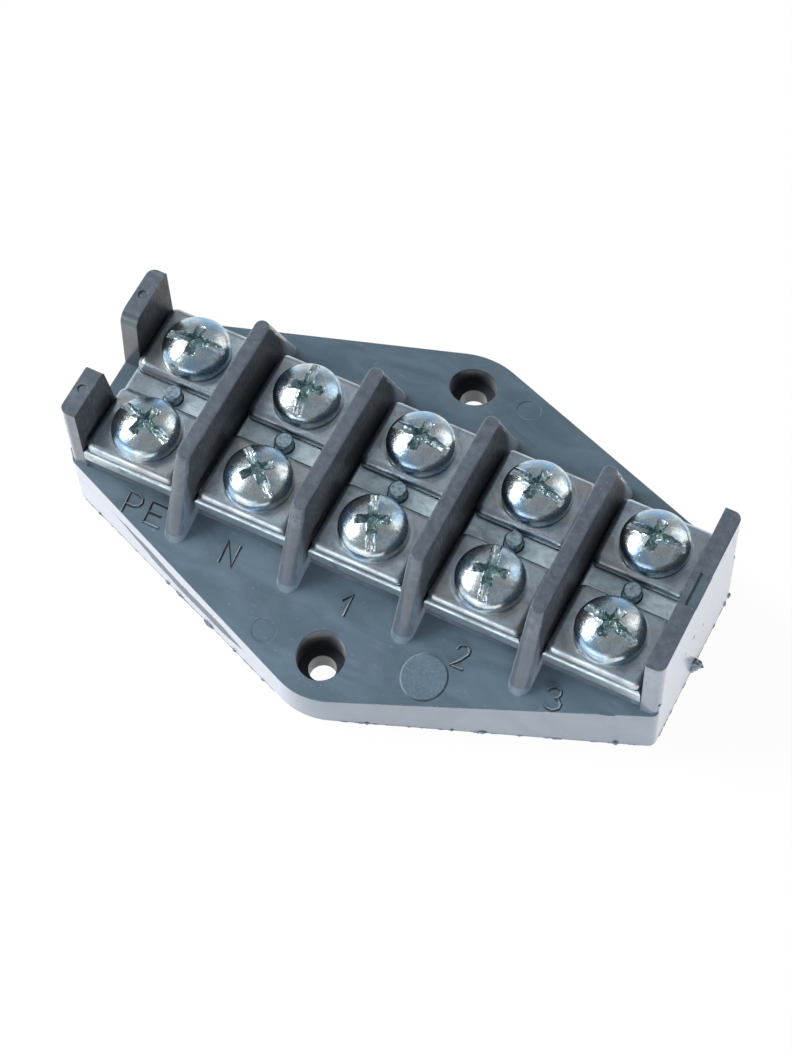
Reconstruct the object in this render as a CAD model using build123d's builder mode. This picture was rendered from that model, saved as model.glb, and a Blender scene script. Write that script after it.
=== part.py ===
from build123d import *
import os

os.makedirs("parts", exist_ok=True)

# A five-pole terminal block: a six-sided moulded base with one screw-down ear at the front and one behind.
# X runs along the row of poles, Y from the front ear to the back ear, and Z up.
# The origin is at the middle of the underside. Sizes are in millimetres.

# Row of poles, from the earth end to the line 3 end
pole_names = ["earth", "neutral", "line_1", "line_2", "line_3"]
pole_pitch = 17.0

# Terminal screws: M5, with a pan head that has a slot and a cross recess
screw_diameter = 4.9
screw_length = 10.0
screw_point_chamfer = 0.5
screw_spacing = 14.0
thread_clearance = 0.05
head_diameter = 9.4
head_height = 3.4
head_side_height = 1.9
head_edge_radius = 1.4
slot_width = 1.2
slot_depth = 1.6
cross_span = 4.8
cross_arm_width = 1.3
cross_depth = 2.3
cross_taper = 12

# How far each slot is turned from X as the screws stand, in degrees, at the front and at the back
slot_turns = {
    "earth": {"front": 162, "back": 5},
    "neutral": {"front": 139, "back": 99},
    "line_1": {"front": 113, "back": 174},
    "line_2": {"front": 101, "back": 168},
    "line_3": {"front": 164, "back": 179},
}

# Clamp plates, which stand a little above the bars with the screws not yet tightened
clamp_thickness = 1.3
clamp_lift = 0.3
clamp_corner_radius = 1.3
clamp_edge_radius = 1.0
clamp_hole_clearance = 0.3
clamp_side_clearance = 0.35
clamp_pin_clearance = 0.35

# Contact bars
bar_thickness = 2.0
bar_end_margin = 0.25
bar_edge_radius = 0.5
bar_side_clearance = 0.2

# Pins that locate the bars on the base
pin_diameter = 2.6
pin_rise = 1.5
pin_seat_depth = 4.0
pin_edge_chamfer = 0.25
pin_seat_clearance = 0.02
pin_bar_clearance = 0.15

# Base: plate, ears and the deck that carries the bars
deck_height = 11.6
deck_setback = 0.5
ear_root_height = 9.35
ear_tip_height = 5.5
ear_tip_margin = 6.5
ear_tip_radius = 10.0
corner_radius = 1.2
end_setback = 0.1
well_clearance = 0.35
well_end_clearance = 0.7

# Mounting holes, one in each ear, with a recess for the head of the fixing screw
mounting_hole_spacing = 45.6
mounting_hole_diameter = 3.8
head_recess_diameter = 6.6
head_recess_floor = 3.0

# Partition ribs between the poles, thinner at the top, with leaning rounded ends
rib_rise = 10.7
rib_top_width = 2.1
rib_root_width = 3.0
rib_shoulder_setback = 0.8
rib_foot_reach = 4.8
rib_top_radius = 0.3

# End walls, with a gap in the middle of the one at the earth end
end_wall_thickness = 2.5
end_wall_clearance = 0.12
gap_floor_front = 3.2
gap_floor_back = 3.1
gap_top_front = 4.8
gap_top_back = 4.0
gap_front_radius = 0.7
gap_back_radius = 1.8
wall_step_length = 5.2
wall_step_width = 1.55
wall_step_depth = 0.3
ejector_mark_diameter = 1.35
ejector_mark_depth = 0.2
ejector_mark_setback = 4.3

# Round marks that the mould left on the ears: a raised one in front, and a sunken one on each ear
insert_mark_diameter = 6.1
insert_mark_rise = 0.15
insert_mark_x = 13.7
insert_mark_y = 19.9
ear_mark_diameter = 3.4
ear_mark_depth = 0.08
ear_mark_x = 8.5
ear_mark_y = 22.8

# Cored slots in the underside, one below each rib
core_width = 3.0
core_end_wall = 2.1
core_depth = 8.0

# Heights that follow from the stack of bar, clamp plate and screw head
rib_top = deck_height + rib_rise
bar_top = deck_height + bar_thickness
clamp_bottom = bar_top + clamp_lift
head_seat = clamp_bottom + clamp_thickness
screw_point = head_seat - screw_length
well_floor = screw_point - clamp_lift - well_end_clearance
pin_bottom = deck_height - pin_seat_depth
pin_top = bar_top + pin_rise


def rib_width(height):
    """Thickness of a rib at a height above the underside."""
    draft = (rib_root_width - rib_top_width) / (rib_top - ear_root_height)
    return rib_root_width - draft * (height - ear_root_height)


# Widths between two ribs, and lengths from the front of a pole to its back
bar_width = pole_pitch - rib_width(deck_height) - 2 * bar_side_clearance
clamp_width = pole_pitch - rib_width(clamp_bottom) - 2 * clamp_side_clearance
clamp_length = screw_spacing - pin_diameter - 2 * clamp_pin_clearance
bar_length = screw_spacing + clamp_length + 2 * bar_end_margin
half_depth = bar_length / 2 - end_setback
deck_half_depth = bar_length / 2 - deck_setback

# Places along the row and across it
last_pole = (len(pole_names) - 1) / 2
pole_positions = [(index - last_pole) * pole_pitch for index in range(len(pole_names))]
rib_positions = [x + pole_pitch / 2 for x in pole_positions[:-1]]
side_positions = {"front": -screw_spacing / 2, "back": screw_spacing / 2}
wall_inner = pole_positions[-1] + bar_width / 2 + end_wall_clearance
half_length = wall_inner + end_wall_thickness
wall_centre = half_length - end_wall_thickness / 2
mounting_hole_y = mounting_hole_spacing / 2
ear_tip = mounting_hole_y + ear_tip_margin
ear_slope = (ear_root_height - ear_tip_height) / (ear_tip - half_depth)


def ear_top(y):
    """Height of an ear's sloping top face at a distance from the row's centre line."""
    return ear_root_height - ear_slope * (y - half_depth)


def ear_plane(x, y):
    """Plane on the top face of the ear that holds a place."""
    lean = ear_slope if y > 0 else -ear_slope
    return Plane(origin=(x, y, ear_top(abs(y))), x_dir=(1, 0, 0), z_dir=(0, lean, 1))


# One partition rib at the middle of the row: its ends lean inwards and are fully rounded
rib_bottom = ear_tip_height
rib_foot = half_depth + rib_foot_reach
rib_shoulder = half_depth - rib_shoulder_setback
rib_lean = (rib_foot - rib_shoulder) / (rib_top - ear_top(rib_foot))
rib_buried_foot = rib_foot + rib_lean * (ear_top(rib_foot) - rib_bottom)

with BuildPart() as rib:
    with BuildSketch(Plane.XY.offset(rib_bottom)):
        SlotOverall(2 * rib_buried_foot, rib_width(rib_bottom), rotation=90)
    with BuildSketch(Plane.XY.offset(rib_top)):
        SlotOverall(2 * rib_shoulder, rib_top_width, rotation=90)
    loft()
    fillet(rib.faces().sort_by(Axis.Z)[-1].edges(), radius=rib_top_radius)

with BuildPart() as base:
    # Six-sided body, with its ears cut down to their slope
    with BuildSketch(Plane.XY) as outline:
        with BuildLine():
            Polyline(
                (half_length, -half_depth),
                (half_length, half_depth),
                (0, ear_tip),
                (-half_length, half_depth),
                (-half_length, -half_depth),
                (0, -ear_tip),
                close=True,
            )
        make_face()
        tips = outline.vertices().group_by(Axis.Y)
        fillet(tips[0] + tips[-1], radius=ear_tip_radius)
        corners = outline.vertices().group_by(Axis.X)
        fillet(corners[0] + corners[-1], radius=corner_radius)
    extrude(amount=deck_height)
    with BuildSketch(Plane.YZ):
        with BuildLine():
            Polyline(
                (deck_half_depth, ear_top(deck_half_depth)),
                (ear_tip, ear_top(ear_tip)),
                (ear_tip, deck_height),
                (deck_half_depth, deck_height),
                close=True,
            )
        make_face()
        mirror(about=Plane.YZ)
    extrude(amount=half_length, both=True, mode=Mode.SUBTRACT)

    # End walls
    with BuildSketch(Plane.XY.offset(ear_root_height)) as wall_plan:
        with Locations((-wall_centre, 0), (wall_centre, 0)):
            Rectangle(end_wall_thickness, 2 * half_depth)
        outer_corners = wall_plan.vertices().group_by(Axis.X)
        fillet(outer_corners[0] + outer_corners[-1], radius=corner_radius)
    extrude(amount=rib_top - ear_root_height)

    # Gap in the earth end wall, flared upwards, with its top corners rounded
    with BuildSketch(Plane.YZ.offset(-half_length)):
        with BuildLine():
            Polyline(
                (-gap_floor_front, deck_height),
                (gap_floor_back, deck_height),
                (gap_top_back, rib_top),
                (-gap_top_front, rib_top),
                close=True,
            )
        make_face()
    extrude(amount=end_wall_thickness, mode=Mode.SUBTRACT)
    for corner, radius in ((0, gap_front_radius), (-1, gap_back_radius)):
        wall_top_edges = base.edges().filter_by(Axis.X).group_by(Axis.Z)[-1]
        gap_corners = wall_top_edges.filter_by_position(
            Axis.Y, corner_radius - half_depth, half_depth - corner_radius
        ).sort_by(Axis.Y)
        fillet(gap_corners[corner], radius=radius)

    # Shallow step in the top of the line 3 end wall, and ejector marks in the two parts of the other
    with BuildSketch(Plane.XY.offset(rib_top)):
        with Locations((half_length - wall_step_width / 2, 0)):
            Rectangle(wall_step_width, wall_step_length)
    extrude(amount=-wall_step_depth, mode=Mode.SUBTRACT)
    with Locations(
        (-wall_centre, half_depth - ejector_mark_setback, rib_top),
        (-wall_centre, ejector_mark_setback - half_depth, rib_top),
    ):
        Hole(radius=ejector_mark_diameter / 2, depth=ejector_mark_depth)

    # Partition ribs
    with Locations(*[(x, 0, 0) for x in rib_positions]):
        add(rib.part)

    # Mounting holes
    with Locations((0, -mounting_hole_y, ear_root_height), (0, mounting_hole_y, ear_root_height)):
        CounterBoreHole(
            radius=mounting_hole_diameter / 2,
            counter_bore_radius=head_recess_diameter / 2,
            counter_bore_depth=ear_root_height - head_recess_floor,
            depth=ear_root_height,
        )

    # Marks of the mould
    with BuildSketch(ear_plane(insert_mark_x, -insert_mark_y)):
        Circle(insert_mark_diameter / 2)
    extrude(amount=insert_mark_rise, both=True)
    with BuildSketch(ear_plane(-ear_mark_x, -ear_mark_y), ear_plane(ear_mark_x, ear_mark_y)):
        Circle(ear_mark_diameter / 2)
    extrude(amount=-ear_mark_depth, mode=Mode.SUBTRACT)

    # Blind wells below the terminal screws, and seats for the pins
    with Locations(*[(x, y, deck_height) for x in pole_positions for y in side_positions.values()]):
        Hole(radius=screw_diameter / 2 + well_clearance, depth=deck_height - well_floor)
    with Locations(*[(x, 0, deck_height) for x in pole_positions]):
        Hole(radius=pin_diameter / 2 + pin_seat_clearance, depth=pin_seat_depth)

    # Cored slots in the underside
    with BuildSketch(Plane.XY):
        with Locations(*[(x, 0) for x in rib_positions]):
            SlotOverall(2 * (deck_half_depth - core_end_wall), core_width, rotation=90)
    extrude(amount=core_depth, mode=Mode.SUBTRACT)

base.part.label = "base"
export_step(base.part, "parts/base.step")

for pole, x in zip(pole_names, pole_positions):
    # Contact bar, with a threaded hole for each screw and a hole for the pin
    with BuildPart() as bar:
        with BuildSketch(Plane.XY.offset(deck_height)):
            with Locations((x, 0)):
                Rectangle(bar_width, bar_length)
            with Locations(*[(x, y) for y in side_positions.values()]):
                Circle(screw_diameter / 2 + thread_clearance, mode=Mode.SUBTRACT)
            with Locations((x, 0)):
                Circle(pin_diameter / 2 + pin_bar_clearance, mode=Mode.SUBTRACT)
        extrude(amount=bar_thickness)
        fillet(bar.faces().sort_by(Axis.Z)[-1].outer_wire().edges(), radius=bar_edge_radius)
    bar.part.label = f"{pole}_bar"
    export_step(bar.part, f"parts/{bar.part.label}.step")

    # Pin pressed into the base
    with BuildPart() as pin:
        with BuildSketch(Plane.XY.offset(pin_bottom)):
            with Locations((x, 0)):
                Circle(pin_diameter / 2)
        extrude(amount=pin_top - pin_bottom)
        chamfer(pin.faces().sort_by(Axis.Z)[-1].edges(), length=pin_edge_chamfer)
    pin.part.label = f"{pole}_pin"
    export_step(pin.part, f"parts/{pin.part.label}.step")

    for side, y in side_positions.items():
        # Clamp plate, loose on the screw
        with BuildPart() as clamp:
            with BuildSketch(Plane.XY.offset(clamp_bottom)):
                with Locations((x, y)):
                    RectangleRounded(clamp_width, clamp_length, clamp_corner_radius)
                    Circle(screw_diameter / 2 + clamp_hole_clearance, mode=Mode.SUBTRACT)
            extrude(amount=clamp_thickness)
            fillet(clamp.faces().sort_by(Axis.Z)[-1].outer_wire().edges(), radius=clamp_edge_radius)
        clamp.part.label = f"{pole}_{side}_clamp"
        export_step(clamp.part, f"parts/{clamp.part.label}.step")

        # Terminal screw: half its outline, turned about its axis
        with BuildPart() as screw:
            with BuildSketch(Plane(origin=(x, y, head_seat), x_dir=(1, 0, 0), z_dir=(0, -1, 0))) as half:
                with BuildLine():
                    shank = screw_diameter / 2
                    side_top = (head_diameter / 2, head_side_height)
                    crown = (0, head_height)
                    Polyline(
                        crown,
                        (0, -screw_length),
                        (shank - screw_point_chamfer, -screw_length),
                        (shank, screw_point_chamfer - screw_length),
                        (shank, 0),
                        (head_diameter / 2, 0),
                        side_top,
                    )
                    crown_rise = head_height - head_side_height
                    crown_radius = (head_diameter**2 / 4 + crown_rise**2) / (2 * crown_rise)
                    RadiusArc(side_top, crown, -crown_radius)
                make_face()
                head_edge = half.vertices().group_by(Axis.Y)[-2]
                fillet(head_edge, radius=head_edge_radius)
            revolve(axis=Axis((x, y, 0), (0, 0, 1)))
            turned_top = Plane(origin=(x, y, head_seat + head_height), z_dir=(0, 0, 1)).rotated(
                (0, 0, slot_turns[pole][side])
            )
            with BuildSketch(turned_top):
                Rectangle(head_diameter, slot_width)
            extrude(amount=-slot_depth, mode=Mode.SUBTRACT)
            with BuildSketch(turned_top):
                Rectangle(cross_span, cross_arm_width)
                Rectangle(cross_arm_width, cross_span)
            extrude(amount=-cross_depth, taper=cross_taper, mode=Mode.SUBTRACT)
        screw.part.label = f"{pole}_{side}_screw"
        export_step(screw.part, f"parts/{screw.part.label}.step")
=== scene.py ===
import math

import bmesh
import bpy
from mathutils import Matrix, Vector, noise


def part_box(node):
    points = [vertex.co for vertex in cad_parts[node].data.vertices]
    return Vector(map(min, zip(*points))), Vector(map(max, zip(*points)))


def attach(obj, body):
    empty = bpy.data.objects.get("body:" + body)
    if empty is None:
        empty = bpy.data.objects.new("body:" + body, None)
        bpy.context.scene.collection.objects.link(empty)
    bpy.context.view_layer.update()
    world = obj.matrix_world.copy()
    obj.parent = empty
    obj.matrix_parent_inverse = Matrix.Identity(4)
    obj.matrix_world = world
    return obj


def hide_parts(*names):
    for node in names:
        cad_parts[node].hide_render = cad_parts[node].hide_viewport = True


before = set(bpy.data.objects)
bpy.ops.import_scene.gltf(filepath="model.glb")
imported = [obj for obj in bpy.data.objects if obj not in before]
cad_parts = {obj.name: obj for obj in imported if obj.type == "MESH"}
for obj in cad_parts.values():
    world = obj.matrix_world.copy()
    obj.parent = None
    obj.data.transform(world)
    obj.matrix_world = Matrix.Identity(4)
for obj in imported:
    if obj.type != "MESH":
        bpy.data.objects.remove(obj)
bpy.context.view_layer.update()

# The view. The block is looked at from its front right and well above, through a long lens, turned a little
# so that the row of poles falls from the upper left to the lower right.
azimuth, elevation, roll = math.radians(29.63), math.radians(61.81), math.radians(-3.234)
aim = Vector((0, 0, 0.006))
distance = 0.37293
shift_right, shift_up = -0.000444, -0.000876
back = Vector(
    (
        math.sin(azimuth) * math.cos(elevation),
        -math.cos(azimuth) * math.cos(elevation),
        math.sin(elevation),
    )
)
level_right = Vector((math.cos(azimuth), math.sin(azimuth), 0))
level_up = back.cross(level_right)
right = level_right * math.cos(roll) + level_up * math.sin(roll)
up = level_up * math.cos(roll) - level_right * math.sin(roll)
lens = bpy.data.cameras.new("view")
lens.lens = 94.3
lens.sensor_width = 36
lens.clip_start = 0.01
camera = bpy.data.objects.new("view", lens)
camera.matrix_world = Matrix.Translation(
    aim + right * shift_right + up * shift_up + back * distance
) @ Matrix((right, up, back)).transposed().to_4x4()
bpy.context.scene.collection.objects.link(camera)
bpy.context.scene.camera = camera
bpy.context.scene.view_settings.view_transform = "Standard"

# The light table that the block lies on: a white sheet, so bright that it hardly takes a shadow. Metal and
# glossy plastic mirror the same white.


class Wire:
    """An output of a shader node. Arithmetic on it adds Math nodes, so masks read as formulas."""

    def __init__(self, paint, socket):
        self.paint = paint
        self.socket = socket

    def math(self, operation, first, second=0.0):
        return self.paint.node("ShaderNodeMath", {"operation": operation}, {0: first, 1: second})

    def __add__(self, other):
        return self.math("ADD", self, other)

    def __radd__(self, other):
        return self.math("ADD", other, self)

    def __sub__(self, other):
        return self.math("SUBTRACT", self, other)

    def __rsub__(self, other):
        return self.math("SUBTRACT", other, self)

    def __mul__(self, other):
        return self.math("MULTIPLY", self, other)

    def __rmul__(self, other):
        return self.math("MULTIPLY", other, self)

    def __gt__(self, other):
        return self.math("GREATER_THAN", self, other)

    def __lt__(self, other):
        return self.math("LESS_THAN", self, other)

    def __abs__(self):
        return self.math("ABSOLUTE", self)

    def root(self):
        return self.math("SQRT", self)

    def or_more(self, other):
        return self.math("MAXIMUM", self, other)

    def vector(self, operation, other, out="Vector"):
        """Vector Math of this vector and another."""
        return self.paint.node("ShaderNodeVectorMath", {"operation": operation}, {0: self, 1: other}, out)

    def dot(self, other):
        return self.vector("DOT_PRODUCT", other, "Value")


class Paint:
    """A material, built node by node."""

    def __init__(self, name, world=None):
        holder = world or bpy.data.materials.new(name)
        holder.use_nodes = True
        self.material = holder
        self.tree = holder.node_tree
        self.tree.nodes.clear()

    def node(self, kind, settings=None, inputs=None, out=0):
        """Adds a node, its settings first. Gives the output that out names or numbers, or a list of them."""
        made = self.tree.nodes.new(kind)
        for key, value in (settings or {}).items():
            setattr(made, key, value)
        for key, value in (inputs or {}).items():
            if isinstance(value, Wire):
                self.tree.links.new(value.socket, made.inputs[key])
            else:
                made.inputs[key].default_value = value
        if isinstance(out, tuple):
            return [Wire(self, made.outputs[name]) for name in out]
        return Wire(self, made.outputs[out]) if made.outputs else None

    def mix(self, share, first, second):
        """Colour from first to second."""
        return self.node(
            "ShaderNodeMix", {"data_type": "RGBA"}, {0: share, 6: first, 7: second}, out=2
        )

    def ramp(self, value, low, high, from_value=0.0, to_value=1.0):
        """A number that goes smoothly from one value to another as its input goes from low to high."""
        return self.node(
            "ShaderNodeMapRange",
            {"interpolation_type": "SMOOTHSTEP"},
            {"Value": value, "From Min": low, "From Max": high, "To Min": from_value, "To Max": to_value},
        )

    def cloud(self, place, scale, detail=2.0, roughness=0.5, distortion=0.0):
        """Soft noise, from 0 to 1."""
        return self.node(
            "ShaderNodeTexNoise",
            {},
            {
                "Vector": place,
                "Scale": scale,
                "Detail": detail,
                "Roughness": roughness,
                "Distortion": distortion,
            },
            out="Fac",
        )

    def stretched(self, place, scale, turn=0.0):
        """The place, stretched and turned about Z, for grain and scratches."""
        return self.node(
            "ShaderNodeMapping", {}, {"Vector": place, "Scale": scale, "Rotation": (0, 0, turn)}
        )

    def bump(self, height, strength, depth, under=None):
        """Relief of a depth in metres, laid over the relief below it."""
        inputs = {"Height": height, "Strength": strength, "Distance": depth}
        if under is not None:
            inputs["Normal"] = under
        return self.node("ShaderNodeBump", {}, inputs)

    def surface(self, inputs, share=None, dull_shaded=None):
        """The finished surface; where share is 1, the second inputs, a dull surface darkened with painted
        shade, take the place of the others.
        """
        shader = self.node("ShaderNodeBsdfPrincipled", {}, inputs)
        if dull_shaded:
            dull = self.node("ShaderNodeBsdfPrincipled", {}, dull_shaded)
            shader = self.node("ShaderNodeMixShader", {}, {0: share, 1: shader, 2: dull})
        self.node("ShaderNodeOutputMaterial", {}, {"Surface": shader})
        return self.material


def srgb(red, green, blue):
    """A colour of the usual 0 to 255 steps, as the shader's own values."""
    steps = [value / 255 for value in (red, green, blue)]
    return tuple(
        step / 12.92 if step <= 0.04045 else ((step + 0.055) / 1.055) ** 2.4 for step in steps
    ) + (1.0,)


table_reach, table_drop = 4.0, 0.00002
table_mesh = bpy.data.meshes.new("table")
table_mesh.from_pydata(
    [(table_reach * x, table_reach * y, -table_drop) for x, y in ((-1, -1), (1, -1), (1, 1), (-1, 1))],
    [],
    [(0, 1, 2, 3)],
)
table = bpy.data.objects.new("table", table_mesh)
bpy.context.scene.collection.objects.link(table)
white = Paint("light_table")
camera_ray, glossy_ray, transmission_ray = white.node(
    "ShaderNodeLightPath", out=("Is Camera Ray", "Is Glossy Ray", "Is Transmission Ray")
)
lit = white.node("ShaderNodeBsdfDiffuse", {}, {"Color": (0.86, 0.86, 0.87, 1)})
glow = white.node("ShaderNodeEmission", {}, {"Color": (1, 1, 1, 1), "Strength": 1.0})
seen = (camera_ray * 0.96).or_more(glossy_ray).or_more(transmission_ray)
sheet = white.node("ShaderNodeMixShader", {}, {0: seen, 1: lit, 2: glow})
white.node("ShaderNodeOutputMaterial", {}, {"Surface": sheet})
table_mesh.materials.append(white.material)

# The light of the studio: a tent that is white low down, most of all in front, with the room's dark side on
# the right, a pale patch behind and one overhead, and a long soft box on the left.
tent = bpy.data.worlds.new("tent")
bpy.context.scene.world = tent
air = Paint("tent", tent)
direction = air.node("ShaderNodeTexCoord", out="Generated")
east, north, height = air.node("ShaderNodeSeparateXYZ", {}, {0: direction}, out=("X", "Y", "Z"))
level = air.ramp(height - air.ramp(north, 0.2, -0.7, 0.0, 0.26), 0.0, 0.5)
wall = air.mix(air.ramp(east, -0.1, 0.6), (0.80, 0.93, 1.05, 1), (0.17, 0.165, 0.16, 1))
dome = air.mix(level, wall, (0.27, 0.295, 0.32, 1))
window = air.ramp(north, -0.6, -0.9) * air.ramp(height, 0.6, 0.2) * air.ramp(east, 0.4, 0.0)
dome = air.mix(window, dome, (2.0, 2.05, 2.15, 1))
behind = direction.dot(Vector((0.42, 0.71, 0.56)).normalized())
dome = air.mix(air.ramp(behind, 0.93, 0.995), dome, (1.5, 1.5, 1.48, 1))
overhead = direction.dot(Vector((-0.42, 0.39, 0.82)).normalized())
dome = air.mix(air.ramp(overhead, 0.974, 0.996) * 0.8, dome, (0.84, 0.93, 0.97, 1))
box_toward = Vector((-0.652, -0.06, 0.755)).normalized()
box_rise = Vector((0, 1, 0)).cross(box_toward).normalized()
box_half_width, box_half_length = 0.20, 0.43
off_middle = direction.dot(box_rise) * (1 / box_half_width)
off_side = direction.dot(box_toward.cross(box_rise)) * (1 / box_half_length)
cloth = air.ramp(off_middle * off_middle + off_side * off_side, 1.0, 0.0)
cloth = cloth * cloth * (direction.dot(box_toward) > 0)
dome = air.mix(cloth, dome, (10, 10.2, 10.4, 1))
background = air.node("ShaderNodeBackground", {}, {"Color": dome, "Strength": 1.0})
air.node("ShaderNodeOutputWorld", {}, {"Surface": background})


def soft_box(name, toward, reach, width, height, watts, colour=(1, 1, 1)):
    """A rectangular lamp at a reach along a direction, facing the block. Metal mirrors the tent instead."""
    lamp = bpy.data.lights.new(name, "AREA")
    lamp.shape = "RECTANGLE"
    lamp.size = width
    lamp.size_y = height
    lamp.energy = watts
    lamp.color = colour
    stand = bpy.data.objects.new(name, lamp)
    stand.visible_glossy = False
    toward = Vector(toward).normalized()
    stand.location = toward * reach
    stand.rotation_mode = "QUATERNION"
    stand.rotation_quaternion = toward.to_track_quat("Z", "Y")
    bpy.context.scene.collection.objects.link(stand)


soft_box("left_box", box_toward, 0.7, 0.45, 0.27, 5.0)
soft_box("low_strip", (0.72, -0.69, 0.06), 0.6, 0.5, 0.05, 4.2, (0.95, 0.94, 1.0))

# The base: one moulding of grey plastic with six sides, its ribs and end walls moulded in one with it. Its
# faces are smooth, with faint flow marks; its edges and the tops and ends of its ribs are scuffed.
mm = 0.001
half_length, half_depth, ear_tip = 43.5, 12.5, 29.3
rib_top, clamp_top, deck_edge = 22.3, 15.2, 9.4
hole_reach, counterbore_radius = 22.8, 3.34
mould_grey = Paint("mould_grey")
place = mould_grey.node("ShaderNodeTexCoord", out="Object")
along, across, height = mould_grey.node("ShaderNodeSeparateXYZ", {}, {0: place}, out=("X", "Y", "Z"))
blotch = mould_grey.cloud(place, 260, 3, 0.55)
grain = mould_grey.cloud(place, 5200, 2, 0.5)
speck = mould_grey.ramp(mould_grey.cloud(place, 2300, 1, 0.4), 0.70, 0.78)
scratches = [
    mould_grey.ramp(
        mould_grey.cloud(mould_grey.stretched(place, (60, 1800, 60), turn), 6, 2, 0.4), 0.66, 0.74
    )
    for turn in (0.35, 1.25, 2.2)
]
scratch = (scratches[0] + scratches[1] + scratches[2]) * mould_grey.ramp(blotch, 0.42, 0.7)
rounded = mould_grey.node("ShaderNodeBevel", {"samples": 4}, {"Radius": 0.2 * mm})
flat_normal = mould_grey.node("ShaderNodeNewGeometry", out="Normal")
edge = mould_grey.ramp(1 - rounded.dot(flat_normal), 0.01, 0.2)
rubbed = mould_grey.cloud(place, 900, 4, 0.65)
rib_crest = mould_grey.ramp(height, (rib_top - 0.5) * mm, (rib_top - 0.1) * mm)
rib_nose = mould_grey.ramp(abs(across), (half_depth - 1.6) * mm, (half_depth - 0.2) * mm)
rib_nose = rib_nose * mould_grey.ramp(height, clamp_top * mm, (clamp_top + 5) * mm)
exposed = (edge * 0.75).or_more(rib_crest * 0.16).or_more(rib_nose * 0.28)
wear = mould_grey.ramp(rubbed, 0.42, 0.7) * exposed
grime = mould_grey.ramp(rubbed, 0.44, 0.3) * rib_crest.or_more(rib_nose) * 0.35

normal_along, normal_across, normal_up = mould_grey.node(
    "ShaderNodeSeparateXYZ",
    {},
    {0: mould_grey.node("ShaderNodeNewGeometry", out="True Normal")},
    out=("X", "Y", "Z"),
)
top_side = mould_grey.ramp(normal_up, 0.7, 0.95)

# The ribs' flanks between the terminals are dull, and painted shade darkens them; the walls of the two
# counterbores are dull and darkened with painted shade too.
dull_shade_mottle = mould_grey.cloud(mould_grey.stretched(place, (1, 4, 1)), 700, 3, 0.6)
flank = (abs(normal_along) > 0.9) * (abs(along) < (half_length - 0.5) * mm) * (height > (clamp_top - 4) * mm)
flank = flank * mould_grey.ramp(abs(across), (half_depth + 2) * mm, half_depth * mm)
off_hole = abs(across) - hole_reach * mm
bore = (along * along + off_hole * off_hole).root() < counterbore_radius * mm
# Upright faces that look to the front or back are darkened with painted shade.
front_back_painted_shade = (normal_across * normal_across > 0.2) * (along < (half_length - 4) * mm) * (height > deck_edge * mm)

# A flat sink mark runs along the side of the front ear towards the earth end. It is a lens in outline, duller
# than the rest, and darker with painted shade.
ear_side = (normal_along < -0.25) * (normal_across < -0.8)
sink_middle = mould_grey.ramp(along, -21 * mm, -37 * mm, 3.3 * mm, 5.6 * mm)
sink_half = mould_grey.ramp(along, -37 * mm, -27 * mm, 0, 1.15 * mm)
sink_half = sink_half * mould_grey.ramp(along, -9.5 * mm, -15 * mm)
ragged = (mould_grey.cloud(place, 500, 3, 0.6) - 0.5) * (0.9 * mm)
sink_and_painted_shade = mould_grey.ramp(abs(height - sink_middle + ragged) - sink_half, 0.15 * mm, -0.2 * mm) * ear_side

# A round mould mark on the front ear stands a little proud. It is speckled; painted shade darkens the foot of
# its rim on the right side, and a painted highlight lightens its rim on the left.
mark_along, mark_across, mark_radius = 13.7, -19.9, 3.0
off_along = along - mark_along * mm
off_across = across - mark_across * mm
from_mark = (off_along * off_along + off_across * off_across).root()
mark = mould_grey.ramp(from_mark, (mark_radius + 0.05) * mm, (mark_radius - 0.05) * mm)
mark_rim = mould_grey.ramp(abs(from_mark - (mark_radius + 0.12) * mm), 0.16 * mm, 0.04 * mm)
mark_rim = mark_rim * (height > 6 * mm)
mark_painted_shade = mark_rim * mould_grey.ramp(off_along - off_across * 0.4, 0.4 * mm, 2 * mm)
mark_painted_highlight = mark_rim * mould_grey.ramp(off_along, -0.6 * mm, -2 * mm)
dapple = mould_grey.cloud(place, 3600, 2, 0.6)

# The colour of the plastic: cloudy from the flow in the mould, paler where it is scratched or scuffed, and
# darker in the grime and the few pits of the line 3 end. Painted shade darkens the counterbores, the faces to
# the front and back, the sink mark and the right foot of the mould mark; a painted highlight lightens the
# mark's left rim.
flow = mould_grey.cloud(mould_grey.stretched(place, (1, 2.5, 1), 0.4), 90, 4, 0.6, 0.8)
grey = mould_grey.mix(mould_grey.ramp(flow, 0.3, 0.7), srgb(66, 82, 93), srgb(79, 97, 109))
grey = mould_grey.mix(mark * mould_grey.ramp(dapple, 0.42, 0.62) * 0.4, grey, srgb(98, 116, 128))
# Painted shade along the right foot of the mould mark's rim.
grey = mould_grey.mix(mark_painted_shade * 0.85, grey, srgb(20, 26, 32))
# Painted highlight on the left of the mould mark's rim.
grey = mould_grey.mix(mark_painted_highlight * 0.5, grey, srgb(140, 158, 168))
grey = mould_grey.mix(rib_crest * 0.6, grey, srgb(68, 69, 75))
# Painted shade on the faces to the front and back.
grey = mould_grey.mix(front_back_painted_shade * 0.4, grey, srgb(54, 56, 62))
grey = mould_grey.mix(mould_grey.ramp(blotch, 0.45, 0.8) * 0.35, grey, srgb(85, 94, 110))
grey = mould_grey.mix(scratch * 0.35 + speck * 0.35, grey, srgb(118, 132, 143))
grey = mould_grey.mix(grime, grey, srgb(50, 56, 64))
grey = mould_grey.mix(wear, grey, srgb(132, 141, 152))
# Painted shade in the counterbores.
grey = mould_grey.mix(bore * 0.8, grey, srgb(34, 28, 34))
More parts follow.
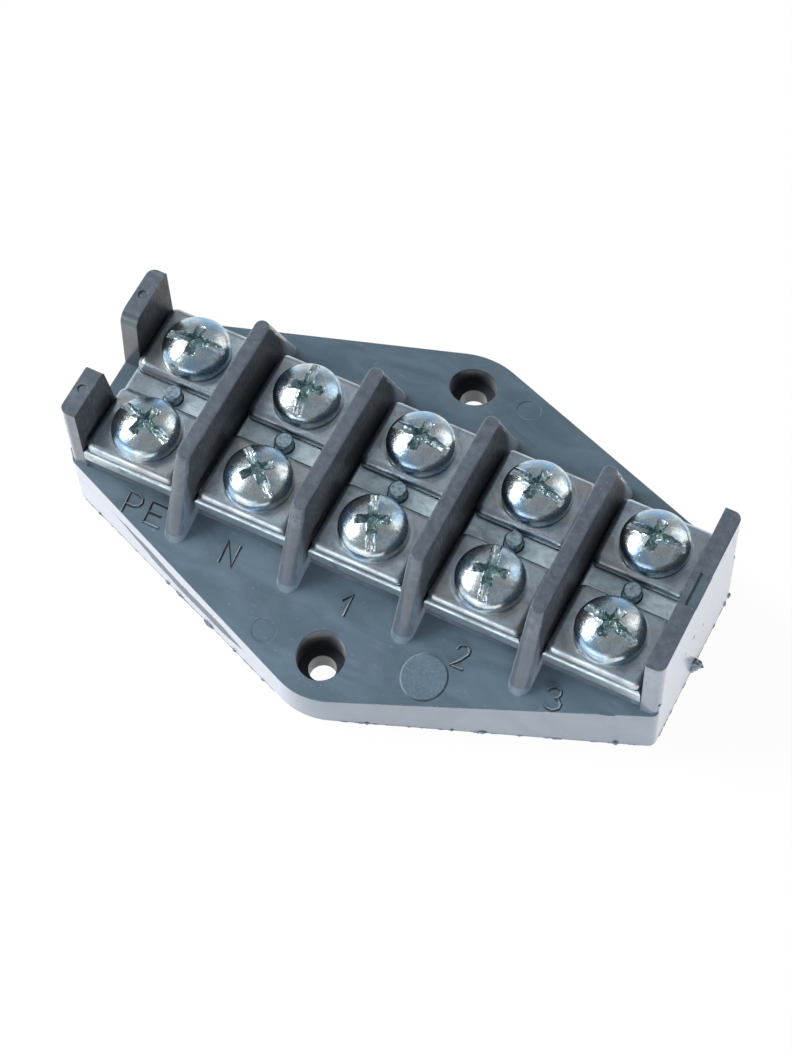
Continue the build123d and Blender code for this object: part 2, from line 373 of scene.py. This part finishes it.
# Painted shade in the sink mark.
grey = mould_grey.mix(sink_and_painted_shade * 0.5, grey, srgb(62, 74, 88))
pitted = 0.0
for pit_across, pit_height, reach in ((-1.6, 12.6, 0.4), (-4.1, 12.5, 0.3), (1.8, 10.0, 0.3)):
    away = place.vector("DISTANCE", (half_length * mm, pit_across * mm, pit_height * mm), "Value")
    pit = mould_grey.ramp(away + ragged * 0.8, reach * mm, 0.6 * reach * mm)
    pitted = pit + pitted
    grey = mould_grey.mix(pit * 0.8, grey, srgb(40, 40, 46))
relief = mould_grey.bump(grain, 0.25, 0.00002, rounded)
relief = mould_grey.bump(blotch, 0.4, 0.0001, relief)
relief = mould_grey.bump(dapple * mark, 0.5, 0.00004, relief)
relief = mould_grey.bump(rubbed * rib_crest.or_more(rib_nose), 0.3, 0.00005, relief)
tilt = mould_grey.node("ShaderNodeCombineXYZ", {}, {2: sink_and_painted_shade * 0.5 + pitted * 0.9})
relief = relief.vector("ADD", tilt)
relief = relief.vector("NORMALIZE", (0, 0, 0))
lacking_gloss = sink_and_painted_shade * 0.6 + wear * 0.4 + pitted + bore * 0.7 + mark_painted_shade * 0.8 + top_side * 0.8
# On the flanks and, a little, on the faces to the front and back, a dull surface takes over; its darker
# colour is painted shade.
grey_plastic = mould_grey.surface(
    {
        "Base Color": grey,
        "Roughness": mould_grey.ramp(flow, 0.2, 0.8, 0.32, 0.40) + (scratch + wear) * 0.12,
        "IOR": 1.5,
        "Coat Weight": 1 - lacking_gloss,
        "Coat IOR": 1.7,
        "Coat Roughness": 0.14,
        "Sheen Weight": 0.85,
        "Sheen Roughness": 0.3,
        "Sheen Tint": (0.90, 0.91, 1.0, 1),
        "Normal": relief,
    },
    (flank * 0.9).or_more(front_back_painted_shade * 0.3),
    {
        "Base Color": mould_grey.mix(mould_grey.ramp(dull_shade_mottle, 0.52, 0.75), srgb(44, 46, 49), srgb(72, 74, 80)),
        "Roughness": mould_grey.ramp(dull_shade_mottle, 0.3, 0.7, 0.55, 0.42),
        "IOR": 1.35,
        "Normal": relief,
    },
)
base_body = "base"
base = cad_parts["base"]
base.material_slots[0].material = grey_plastic

# What the mould left on the base: thin ragged flash along the lower edges of the outside, a few crumbs of it
# that stand out further, and the torn stub of the gate at the foot of the line 3 end.
ear_run = math.hypot(half_length, ear_tip - half_depth)
front_left = Vector((half_length, half_depth - ear_tip, 0)) / ear_run
front_right = Vector((half_length, ear_tip - half_depth, 0)) / ear_run


def flash_strip(shape, start, run, length, seed):
    """A fin of uneven width along a lower edge from a start point; the outside lies on its right."""
    out = Vector((run.y, -run.x, 0))
    step = 0.2
    before = None
    for count in range(int(length / step)):
        spot = start + run * (count * step)
        swell = noise.noise(spot * 0.9 + Vector((seed, 0, 0))) + 0.5 * noise.noise(spot * 3.1)
        width = 0.03 + 0.22 * max(swell, 0.0)
        ring = [
            shape.verts.new(spot - out * 0.05),
            shape.verts.new(spot + out * width + Vector((0, 0, 0.02))),
            shape.verts.new(spot + out * width * 0.6 + Vector((0, 0, 0.12))),
            shape.verts.new(spot - out * 0.05 + Vector((0, 0, 0.25))),
        ]
        if before:
            for side in range(4):
                after = (side + 1) % 4
                shape.faces.new((before[side], before[after], ring[after], ring[side]))
        else:
            shape.faces.new(reversed(ring))
        before = ring
    shape.faces.new(before)


def crumb(shape, spot, run, sizes, seed):
    """An uneven lump of plastic on a face, as long along a run, as deep and as high as its three sizes."""
    out = Vector((run.y, -run.x, 0))
    lump = bmesh.ops.create_icosphere(shape, subdivisions=3, radius=1.0)["verts"]
    for vertex in lump:
        swell = 1 + 0.45 * noise.noise(vertex.co * 1.3 + Vector((seed, 0, 0)))
        swell += 0.2 * noise.noise(vertex.co * 3.7)
        point = vertex.co * swell
        sideways = run * (point.x * sizes[0]) + out * (point.y * sizes[1])
        vertex.co = Vector(spot) + sideways + Vector((0, 0, point.z * sizes[2]))


def moulded(name, shape):
    """Makes a finished piece of the base's own plastic from a shape in millimetres."""
    bmesh.ops.recalc_face_normals(shape, faces=shape.faces)
    mesh = bpy.data.meshes.new(name)
    bmesh.ops.scale(shape, vec=(mm, mm, mm), verts=shape.verts)
    shape.to_mesh(mesh)
    shape.free()
    mesh.shade_smooth()
    mesh.set_sharp_from_angle(angle=math.radians(40))
    mesh.materials.append(grey_plastic)
    piece = bpy.data.objects.new(name, mesh)
    bpy.context.scene.collection.objects.link(piece)
    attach(piece, base_body)


right_end = Vector((0, 1, 0))
left_corner = Vector((-half_length, -half_depth, 0))
right_corner = Vector((half_length, -half_depth, 0))
flash = bmesh.new()
for start, run, length, seed in (
    (left_corner + front_left * 1.5, front_left, 40.0, 3.0),
    (right_corner - front_right * 41.5, front_right, 40.0, 9.0),
    (right_corner + right_end * 1.5, right_end, 22.0, 17.0),
):
    flash_strip(flash, start, run, length, seed)
moulded("mould_flash", flash)

crumbs = bmesh.new()
for number, (x, y, z, run, sizes) in enumerate(
    (
        (-39.2, -14.2, 0.2, front_left, (0.3, 0.14, 0.15)),
        (-25.6, -19.45, 0.2, front_left, (0.35, 0.25, 0.25)),
        (-23.3, -20.3, 0.2, front_left, (0.7, 0.2, 0.2)),
        (-17.5, -22.55, 0.25, front_left, (0.9, 0.35, 0.35)),
        (-12.6, -24.45, 0.2, front_left, (0.35, 0.2, 0.2)),
        (8.2, -26.15, 0.15, front_right, (0.3, 0.2, 0.2)),
        (18.7, -22.1, 0.15, front_right, (0.3, 0.18, 0.2)),
        (22.5, -20.65, 0.25, front_right, (0.6, 0.2, 0.25)),
        (38.8, -14.35, 0.35, front_right, (0.4, 0.3, 0.35)),
        (half_length, 12.0, 0.3, right_end, (0.4, 0.25, 0.4)),
        (half_length, 10.6, 0.3, right_end, (0.25, 0.25, 0.5)),
        (37.5, -14.85, 8.85, front_right, (0.95, 0.12, 0.08)),
        (17.2, -22.65, 7.1, front_right, (0.22, 0.1, 0.08)),
        (12.7, -24.4, 6.7, front_right, (0.18, 0.1, 0.08)),
    )
):
    crumb(crumbs, (x, y, z), run, sizes, 5.0 * number)
moulded("mould_crumbs", crumbs)

gate = bmesh.new()
crumb(gate, (half_length + 0.2, -0.2, 1.7), right_end, (0.75, 0.85, 1.5), 2.0)
crumb(gate, (half_length + 0.5, 0.5, 0.9), right_end, (0.5, 0.8, 0.7), 31.0)
moulded("gate_stub", gate)

# The contact bars: flat strips of metal with a bright plating and rounded upper edges, one below each pair of
# screws. The rolls have left them faintly dished from side to side.
pole_pitch = 17.0
dish_per_metre = 10.5
bright_plate = Paint("bright_plate")
place = bright_plate.node("ShaderNodeTexCoord", out="Object")
streak = bright_plate.cloud(bright_plate.stretched(place, (1, 14, 1)), 500, 3, 0.6)
stain = bright_plate.cloud(place, 420, 3, 0.6, 0.5)
plated = bright_plate.mix(bright_plate.ramp(stain, 0.35, 0.7), srgb(222, 236, 242), srgb(186, 198, 204))
plated = bright_plate.mix(bright_plate.ramp(streak, 0.58, 0.7) * 0.5, plated, srgb(116, 122, 126))
off_pole = bright_plate.node(
    "ShaderNodeMath",
    {"operation": "WRAP"},
    {
        0: bright_plate.node("ShaderNodeSeparateXYZ", {}, {0: place}, out="X"),
        1: pole_pitch / 2 * mm,
        2: -pole_pitch / 2 * mm,
    },
)
dished = bright_plate.bump(off_pole * off_pole * dish_per_metre, 1.0, 1.0)
plated_bar = bright_plate.surface(
    {
        "Base Color": plated,
        "Metallic": 1.0,
        "Roughness": bright_plate.ramp(stain, 0.3, 0.75, 0.32, 0.5),
        "Normal": bright_plate.bump(streak, 0.35, 0.00003, dished),
    }
)


def coat(ending, material):
    """Gives the solids whose names end so their material."""
    for name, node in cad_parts.items():
        if name.endswith(ending):
            node.material_slots[0].material = material


coat("_bar", plated_bar)

# The clamp plates: small rectangles punched from zinc-plated steel, with rolled-over upper edges, loose on
# the screws. The turning heads have rubbed bright rings into them.
terminal_reach, head_radius = 7.0, 4.7
clamp_zinc = Paint("clamp_zinc")
place = clamp_zinc.node("ShaderNodeTexCoord", out="Object")
along, across = clamp_zinc.node("ShaderNodeSeparateXYZ", {}, {0: place}, out=("X", "Y"))
off_pole = clamp_zinc.node(
    "ShaderNodeMath", {"operation": "WRAP"}, {0: along, 1: pole_pitch / 2 * mm, 2: -pole_pitch / 2 * mm}
)
off_terminal = abs(across) - terminal_reach * mm
from_screw = (off_pole * off_pole + off_terminal * off_terminal).root()
rubbed = clamp_zinc.ramp(from_screw, (head_radius - 0.2) * mm, (head_radius + 0.05) * mm)
rubbed = rubbed * clamp_zinc.ramp(from_screw, (head_radius + 0.8) * mm, (head_radius + 0.3) * mm)
around = clamp_zinc.node("ShaderNodeCombineXYZ", {}, {0: from_screw, 1: along * 0.05, 2: across * 0.05})
turned = clamp_zinc.cloud(around, 5200, 2, 0.6)
streak = clamp_zinc.cloud(clamp_zinc.stretched(place, (1, 9, 1), 0.05), 600, 3, 0.6)
stain = clamp_zinc.cloud(place, 330, 4, 0.6, 0.6)
warm = clamp_zinc.cloud(place, 150, 3, 0.55, 0.4)
speck = clamp_zinc.ramp(clamp_zinc.cloud(place, 2600, 2, 0.5), 0.6, 0.72)
zinc = clamp_zinc.mix(clamp_zinc.ramp(stain, 0.35, 0.7), srgb(206, 218, 226), srgb(172, 180, 188))
zinc = clamp_zinc.mix(clamp_zinc.ramp(warm, 0.46, 0.66) * 0.6, zinc, srgb(186, 178, 174))
zinc = clamp_zinc.mix(speck * 0.4, zinc, srgb(120, 126, 130))
zinc = clamp_zinc.mix(rubbed * clamp_zinc.ramp(turned, 0.4, 0.7) * 0.8, zinc, srgb(240, 246, 248))
relief = clamp_zinc.bump(stain, 0.3, 0.00008, clamp_zinc.bump(streak, 0.25, 0.00002))
zinc_plate = clamp_zinc.surface(
    {
        "Base Color": zinc,
        "Metallic": 1.0,
        "Roughness": clamp_zinc.ramp(stain, 0.3, 0.75, 0.26, 0.4),
        "Normal": clamp_zinc.bump(turned * rubbed, 0.5, 0.00003, relief),
    }
)
coat("_clamp", zinc_plate)

# The pins: short steel pegs pressed into the base through the middle of each bar.
peg_steel = Paint("peg_steel")
place = peg_steel.node("ShaderNodeTexCoord", out="Object")
pits = peg_steel.cloud(place, 2200, 3, 0.6)
pin_steel = peg_steel.surface(
    {
        "Base Color": peg_steel.mix(peg_steel.ramp(pits, 0.4, 0.7), srgb(186, 206, 218), srgb(130, 146, 156)),
        "Metallic": 1.0,
        "Roughness": peg_steel.ramp(pits, 0.3, 0.7, 0.32, 0.5),
        "Normal": peg_steel.bump(pits, 0.6, 0.00004),
    }
)
coat("_pin", pin_steel)

# The terminal screws: M5 steel screws, their pan heads struck with a slot and a cross recess that runs on
# from it, and zinc plated to a bluish silver. The slot's edges carry the burrs of the punch and the driver;
# their near-white colour is a painted highlight. The slot and the recess are darkened with painted shade, and
# the recess also has the teal tint of the chromate.
crown_height, dome_radius = 3.4, 8.11
rim_radius, rim_top, head_foot = 1.4, 1.132, 0.3
dome_edge = 3.988
slot_half, slot_floor, wall_run, burr_width = 0.6, 2.22, 0.05, 0.16
arm_half, arm_reach, arm_floor = 0.66, 2.45, 1.45
web_reach, web_rise = 1.35, 0.35
slot_turns = {
    "earth_front": 162,
    "earth_back": 5,
    "neutral_front": 139,
    "neutral_back": 99,
    "line_1_front": 113,
    "line_1_back": 174,
    "line_2_front": 101,
    "line_2_back": 168,
    "line_3_front": 164,
    "line_3_back": 179,
}
thread_pitch, thread_crest, thread_root, shank_length = 0.8, 2.44, 2.08, 10.0


def head_top(radius):
    """Height of the plain head above its seat: a dome, then a rounded rim."""
    if radius < dome_edge:
        return math.sqrt(dome_radius**2 - radius**2) + crown_height - dome_radius
    across = min(radius - head_radius + rim_radius, rim_radius)
    return rim_top + math.sqrt(max(rim_radius**2 - across**2, 0))


def struck_top(along, across, seed):
    """Height of the struck head at a place along and across its slot, and how far it lies below the dome."""
    plain = head_top(math.hypot(along, across))
    rough = noise.noise(Vector((along * 2.4, across * 2.4, seed)))
    fine = noise.noise(Vector((along * 6.0, across * 6.0, seed + 7)))
    top = plain
    off = abs(across) - slot_half
    if off <= 0:
        furrow = 0.16 * noise.noise(Vector((along * 0.5, across * 5.0, seed + 11)))
        top = min(top, slot_floor + 0.06 * rough + furrow + 0.14 * (across / slot_half) ** 2)
    elif off < burr_width and abs(along) < head_radius - 0.5:
        burr_height = 0.05 + 0.09 * noise.noise(Vector((along * 1.7, across, seed + 3)))
        top += (1 - off / burr_width) * max(burr_height, 0)
    for reach, side in ((abs(along), abs(across)), (abs(across), abs(along))):
        flare = arm_half * (0.82 + 0.3 * min(reach / arm_reach, 1) + 0.12 * rough)
        if side <= flare and reach < arm_reach:
            climb = (reach / arm_reach) ** 1.8
            scoop = arm_floor + (plain - arm_floor) * climb + 0.3 * (side / flare) ** 2
            top = min(top, scoop + 0.16 * rough + 0.08 * fine)
    if abs(along) + abs(across) < web_reach:
        top = min(top, arm_floor + web_rise + 0.14 * rough + 0.08 * fine)
    return top, plain - top


def screw_mesh(name, seed):
    """A whole screw in millimetres, upright, with its seat at zero and its slot along X."""
    shape = bmesh.new()
    steps = 96
    rings = [0.3 + 0.2 * step for step in range(13)] + [3.0 + 0.3 * step for step in range(4)]
    rings += [
        head_radius - rim_radius * (1 - math.sin(math.radians(30 + 60 * step / 7))) for step in range(8)
    ]
    rings = [(radius, head_top(radius)) for radius in rings]
    rings += [(head_radius, 0.7), (head_radius, head_foot), (head_radius - 0.22, 0.0)]
    rings += [(thread_crest + 0.3, 0.0)]
    centre = shape.verts.new((0, 0, crown_height))
    before = None
    for radius, height in rings:
        ring = []
        for step in range(steps):
            turn = 2 * math.pi * step / steps
            ring.append(shape.verts.new((radius * math.cos(turn), radius * math.sin(turn), height)))
        for step in range(steps):
            after = (step + 1) % steps
            if before is None:
                shape.faces.new((centre, ring[step], ring[after]))
            else:
                shape.faces.new((before[step], ring[step], ring[after], before[after]))
        before = ring

    # Cuts through the top along the walls of the recesses keep these walls crisp.
    diagonal = math.sqrt(0.5)
    slot_cuts = [slot_half * 0.3, slot_half * 0.65, slot_half, slot_half + wall_run, slot_half + burr_width]
    web_cuts = [web_reach * diagonal, web_reach * diagonal + wall_run]
    for normal, places in (
        (Vector((0, 1, 0)), slot_cuts + [arm_half, arm_reach]),
        (Vector((1, 0, 0)), [arm_half, arm_half + wall_run, arm_reach]),
        (Vector((diagonal, diagonal, 0)), web_cuts),
        (Vector((diagonal, -diagonal, 0)), web_cuts),
    ):
        for place in [side * place for place in places for side in (-1, 1)]:
            faces = [face for face in shape.faces if face.calc_center_median().z > rim_top - 0.01]
            edges = list({edge for face in faces for edge in face.edges})
            corners = list({vertex for edge in edges for vertex in edge.verts})
            bmesh.ops.bisect_plane(
                shape, geom=faces + edges + corners, dist=1e-5, plane_co=normal * place, plane_no=normal
            )
    depth_layer = shape.verts.layers.float.new("recess_depth")
    for vertex in shape.verts:
        if vertex.co.z > rim_top + 0.001:
            vertex.co.z, vertex[depth_layer] = struck_top(vertex.co.x, vertex.co.y, seed)

    # The thread: rings whose radius rises and falls with the pitch as the place on the ring goes round.
    rows = int(shank_length / thread_pitch * 8)
    turns = 40
    before = None
    for row in range(rows + 1):
        height = -shank_length * row / rows
        ring = []
        for step in range(turns):
            turn = 2 * math.pi * step / turns
            phase = (height / thread_pitch - step / turns) % 1.0
            crest = thread_root + (thread_crest - thread_root) * (1 - abs(2 * phase - 1))
            radius = min(crest, thread_crest - 0.5 + shank_length + height)
            ring.append(shape.verts.new((radius * math.cos(turn), radius * math.sin(turn), height)))
        if before:
            for step in range(turns):
                after = (step + 1) % turns
                shape.faces.new((before[step], ring[step], ring[after], before[after]))
        else:
            shape.faces.new(ring)
        before = ring
    shape.faces.new(list(reversed(before)))
    bmesh.ops.recalc_face_normals(shape, faces=shape.faces)
    mesh = bpy.data.meshes.new(name)
    shape.to_mesh(mesh)
    shape.free()
    mesh.shade_smooth()
    mesh.set_sharp_from_angle(angle=math.radians(32))
    return mesh


screw_zinc = Paint("screw_zinc")
place = screw_zinc.node("ShaderNodeTexCoord", out="Object")
depth = screw_zinc.node("ShaderNodeAttribute", {"attribute_name": "recess_depth"}, out="Fac")
mottle = screw_zinc.cloud(place, 0.9, 4, 0.6, 0.6)
tone = screw_zinc.cloud(place, 0.35, 2, 0.5, 0.4)
fine = screw_zinc.cloud(place, 4.5, 3, 0.6)
silver = screw_zinc.mix(screw_zinc.ramp(mottle, 0.35, 0.7), srgb(226, 238, 240), srgb(198, 206, 208))
silver = screw_zinc.mix(screw_zinc.ramp(tone, 0.45, 0.62) * 0.75, silver, srgb(164, 200, 230))
silver = screw_zinc.mix(screw_zinc.ramp(tone, 0.44, 0.3) * 0.35, silver, srgb(222, 206, 200))
silver = screw_zinc.mix(screw_zinc.ramp(fine, 0.55, 0.72) * 0.55, silver, srgb(118, 134, 150))
# Painted shade: the slot and the recess are a little darker than the dome.
silver = screw_zinc.mix(screw_zinc.ramp(depth, 0.06, 0.3) * 0.3, silver, srgb(150, 162, 162))
from_axis = screw_zinc.stretched(place, (1, 1, 0)).vector("LENGTH", (0, 0, 0), "Value")
# The deep middle of the recess has the teal of the chromate and is darker with painted shade.
chromate_and_painted_shade = screw_zinc.ramp(depth, 0.3, 1.0) * screw_zinc.ramp(from_axis, 2.7, 1.5)
silver = screw_zinc.mix(chromate_and_painted_shade * 0.6, silver, srgb(128, 162, 156))
# Painted highlight: the raised burrs along the slot edges are coloured near white.
burr_painted_highlight = screw_zinc.ramp(depth, -0.02, -0.07)
silver = screw_zinc.mix(burr_painted_highlight, silver, srgb(252, 255, 255))
zinc_screw = screw_zinc.surface(
    {
        "Base Color": silver,
        "Metallic": 1.0,
        "Roughness": screw_zinc.ramp(mottle, 0.3, 0.8, 0.20, 0.34) + screw_zinc.ramp(depth, 0.1, 1.0) * 0.10,
        "Normal": screw_zinc.bump(mottle, 0.75, 0.00007, screw_zinc.bump(fine, 0.4, 0.000012)),
    }
)
for number, (terminal, turn) in enumerate(slot_turns.items()):
    node = terminal + "_screw"
    low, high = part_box(node)
    plated_name = terminal + "_plated_screw"
    screw = bpy.data.objects.new(plated_name, screw_mesh(plated_name, 11.7 * number))
    screw.data.materials.append(zinc_screw)
    bpy.context.scene.collection.objects.link(screw)
    seat = Vector(((low.x + high.x) / 2, (low.y + high.y) / 2, low.z + shank_length * mm))
    screw.matrix_world = (
        Matrix.Translation(seat) @ Matrix.Rotation(math.radians(turn), 4, "Z") @ Matrix.Scale(mm, 4)
    )
    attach(screw, node + "_turning")
    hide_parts(node)
coat("_screw", zinc_screw)

# The characters that mark the poles, raised on the front ear: a pointed cutter drew them into the mould, so
# they stand out from the moulding as narrow ridges with a roof-shaped section.
ear_edge, ear_edge_height, ear_fall = 12.5, 9.35, 0.2292
stroke_radius, stroke_sink = 0.27, 0.03
ridge_grey = Paint("ridge_grey")
place = ridge_grey.node("ShaderNodeTexCoord", out="Object")
dust = ridge_grey.cloud(place, 1600, 3, 0.6)
facing_right, facing_front = ridge_grey.node(
    "ShaderNodeSeparateXYZ",
    {},
    {0: ridge_grey.node("ShaderNodeNewGeometry", out="True Normal")},
    out=("X", "Y"),
)
# Painted shade: the sides of each ridge that face right and back are coloured near black and lose their coat.
shaded = ridge_grey.ramp(facing_right - facing_front * 0.7, -0.1, 0.35)
ridge_plastic = ridge_grey.surface(
    {
        "Base Color": ridge_grey.mix(
            shaded * ridge_grey.ramp(dust, 0.2, 0.6, 0.8, 1.0), srgb(112, 126, 136), srgb(14, 18, 22)
        ),
        "Roughness": ridge_grey.ramp(dust, 0.3, 0.7, 0.3, 0.45),
        "Coat Weight": 0.8 - shaded * 0.8,
        "Coat Roughness": 0.14,
        "Normal": ridge_grey.bump(dust, 0.3, 0.00003),
    }
)
strokes = {
    "letter_p": [
        [
            (-33.65, -16.2), (-33.65, -13.2), (-32.4, -13.2), (-31.7, -13.5),
            (-31.5, -14.05), (-31.75, -14.6), (-32.4, -14.9), (-33.65, -14.9),
        ],
    ],
    "letter_e": [
        [(-28.0, -13.25), (-30.25, -13.25), (-30.25, -16.25), (-27.9, -16.25)],
        [(-30.25, -14.7), (-28.3, -14.7)],
    ],
    "letter_n": [
        [(-18.3, -17.1), (-18.3, -14.0), (-16.45, -17.1), (-16.45, -13.95)],
    ],
    "figure_1": [
        [(-0.75, -15.1), (0.35, -13.9), (0.35, -17.0)],
    ],
    "figure_2": [
        [
            (16.1, -14.9), (16.15, -14.45), (16.6, -14.1), (17.25, -14.05), (17.7, -14.4),
            (17.75, -15.0), (17.05, -16.1), (16.0, -17.15), (17.9, -17.05),
        ],
    ],
    "figure_3": [
        [
            (29.2, -15.1), (29.4, -14.6), (30.1, -14.25), (30.8, -14.4), (31.0, -14.9), (30.8, -15.4),
            (30.3, -15.65), (31.0, -15.6), (31.5, -16.0), (31.5, -16.6), (30.8, -17.15), (30.1, -17.15),
            (29.6, -16.95),
        ],
    ],
}
for name, lines in strokes.items():
    curve = bpy.data.curves.new(name, "CURVE")
    curve.dimensions = "3D"
    curve.bevel_depth = stroke_radius * mm
    curve.bevel_resolution = 0
    curve.use_fill_caps = True
    curve.resolution_u = 6
    for line in lines:
        spline = curve.splines.new("POLY")
        spline.points.add(len(line) - 1)
        for point, (x, y) in zip(spline.points, line):
            z = ear_edge_height - ear_fall * (-y - ear_edge) - stroke_sink
            point.co = (x * mm, y * mm, z * mm, 1)
    letter = bpy.data.objects.new(name, curve)
    curve.materials.append(ridge_plastic)
    bpy.context.scene.collection.objects.link(letter)
    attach(letter, base_body)
